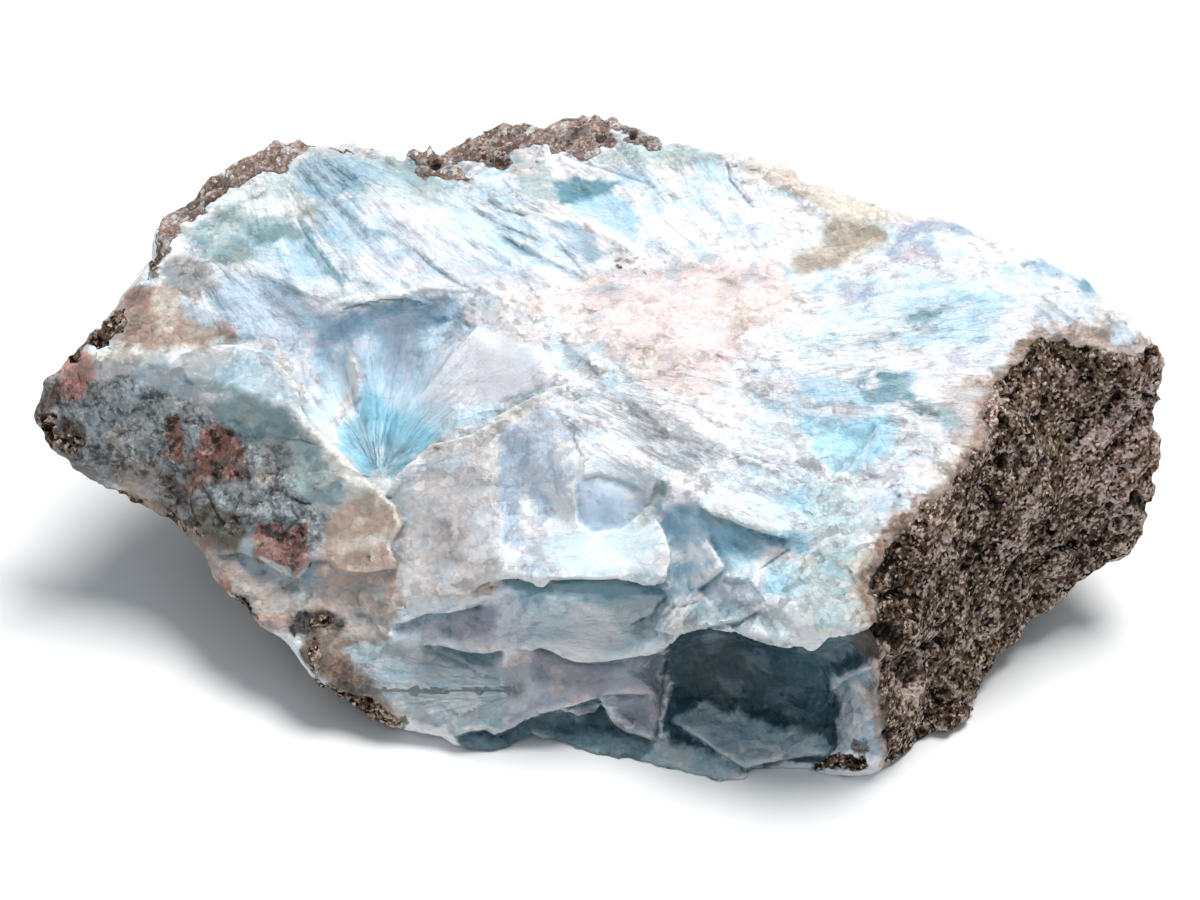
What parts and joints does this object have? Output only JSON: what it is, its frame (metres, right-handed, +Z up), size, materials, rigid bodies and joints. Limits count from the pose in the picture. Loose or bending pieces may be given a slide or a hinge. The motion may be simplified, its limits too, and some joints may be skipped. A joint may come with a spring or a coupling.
{
  "type": "rough larimar specimen",
  "caption": "Rough hand-sized block of blue and white fibrous larimar with brown volcanic rind on its back and one end, resting on a flat cut base.",
  "frame": {"origin": "centre of the stone's box at the height of its flat base", "axes": "+X along the stone's length towards the brown rind end, +Y towards the rind-covered back, +Z up from the flat base"},
  "size_m": [0.1514, 0.0824, 0.0494],
  "materials": {
    "stone": "rough broken pale blue and white fibrous larimar with porous dark brown rind"
  },
  "bodies": {
    "root": {"larimar": "stone"}
  },
  "joints": []
}
